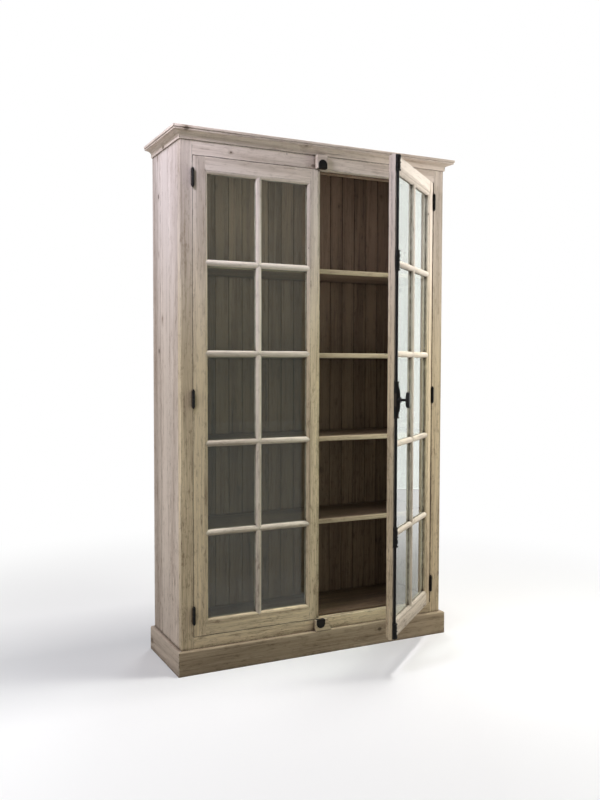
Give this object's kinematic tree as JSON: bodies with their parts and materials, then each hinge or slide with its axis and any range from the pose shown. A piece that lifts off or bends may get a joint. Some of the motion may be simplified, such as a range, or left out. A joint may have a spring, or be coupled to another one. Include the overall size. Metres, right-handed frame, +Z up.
{
  "type": "display cabinet",
  "caption": "Tall glazed wooden display cabinet with a pair of hinged small-paned doors, shelves, a boarded back and a cremone bolt.",
  "frame": {"origin": "on the floor under the middle of the carcass, on the foot of the centre bearer", "axes": "+X to the right along the front, +Y from the front to the back, +Z up"},
  "size_m": [1.405, 0.847, 2.3],
  "materials": {
    "outer_wood": "matt, weathered",
    "inner_wood": "matt, aged",
    "glass": "clear",
    "iron": "satin black"
  },
  "bodies": {
    "cabinet": {"back_batten_lower": "inner_wood", "back_batten_middle": "inner_wood", "back_batten_upper": "inner_wood", "back_boards": "inner_wood", "bottom_board": "inner_wood", "bottom_keeper": "iron", "bottom_keeper_block": "outer_wood", "bottom_rail": "outer_wood", "centre_bearer": "inner_wood", "cornice_front": "outer_wood", "door_stop": "inner_wood", "frieze_rail": "outer_wood", "left_cornice": "outer_wood", "left_face_stile": "outer_wood", "left_frame_hinges": "iron", "left_hinge_pins": "iron", "left_plinth": "outer_wood", "left_side": "outer_wood", "plinth_front": "outer_wood", "right_cornice": "outer_wood", "right_face_stile": "outer_wood", "right_frame_hinges": "iron", "right_hinge_pins": "iron", "right_plinth": "outer_wood", "right_side": "outer_wood", "shelf_1": "inner_wood", "shelf_2": "inner_wood", "shelf_3": "inner_wood", "shelf_4": "inner_wood", "top_board": "inner_wood", "top_keeper": "iron", "top_keeper_block": "outer_wood"},
    "left_door": {"left_door_beads": "outer_wood", "left_door_bottom_rail": "outer_wood", "left_door_cross_bars": "outer_wood", "left_door_hinge_stile": "outer_wood", "left_door_hinges": "iron", "left_door_meeting_stile": "outer_wood", "left_door_panes": "glass", "left_door_top_rail": "outer_wood", "left_door_upright_bar": "outer_wood"},
    "right_door": {"right_door_beads": "outer_wood", "right_door_bottom_rail": "outer_wood", "right_door_cross_bars": "outer_wood", "right_door_hinge_stile": "outer_wood", "right_door_hinges": "iron", "right_door_meeting_stile": "outer_wood", "right_door_panes": "glass", "right_door_top_rail": "outer_wood", "right_door_upright_bar": "outer_wood", "bolt_case": "iron", "rod_guides": "iron"},
    "bolt_knob": {"bolt_knob": "iron", "bolt_spindle": "iron", "pinion": "iron"},
    "upper_rod": {"upper_rod": "iron", "upper_rack": "iron"},
    "lower_rod": {"lower_rod": "iron", "lower_rack": "iron"}
  },
  "joints": [
    {"name": "left_door_hinge", "type": "hinge", "parent": "cabinet", "child": "left_door", "pos_m": [-0.6086, -0.2017, 1.174], "axis": [0, 0, -1], "range_deg": [0, 170]},
    {"name": "right_door_hinge", "type": "hinge", "parent": "cabinet", "child": "right_door", "pos_m": [0.6086, -0.2017, 1.174], "axis": [0, 0, 1], "range_deg": [-40.5, 129.5]},
    {"name": "knob_turn", "type": "hinge", "parent": "right_door", "child": "bolt_knob", "pos_m": [0.13728, -0.59543, 1.174], "axis": [0.6494, -0.7604, 0], "range_deg": [0, 90]},
    {"name": "upper_rod_slide", "type": "slide", "parent": "right_door", "child": "upper_rod", "axis": [0, 0, 1], "range_m": [0, 0.01178]},
    {"name": "lower_rod_slide", "type": "slide", "parent": "right_door", "child": "lower_rod", "axis": [0, 0, -1], "range_m": [0, 0.01179]}
  ],
  "couplings": [
    {"joint": "knob_turn", "follows": "upper_rod_slide", "rad_per_m": 133.33},
    {"joint": "lower_rod_slide", "follows": "upper_rod_slide", "ratio": 1}
  ]
}
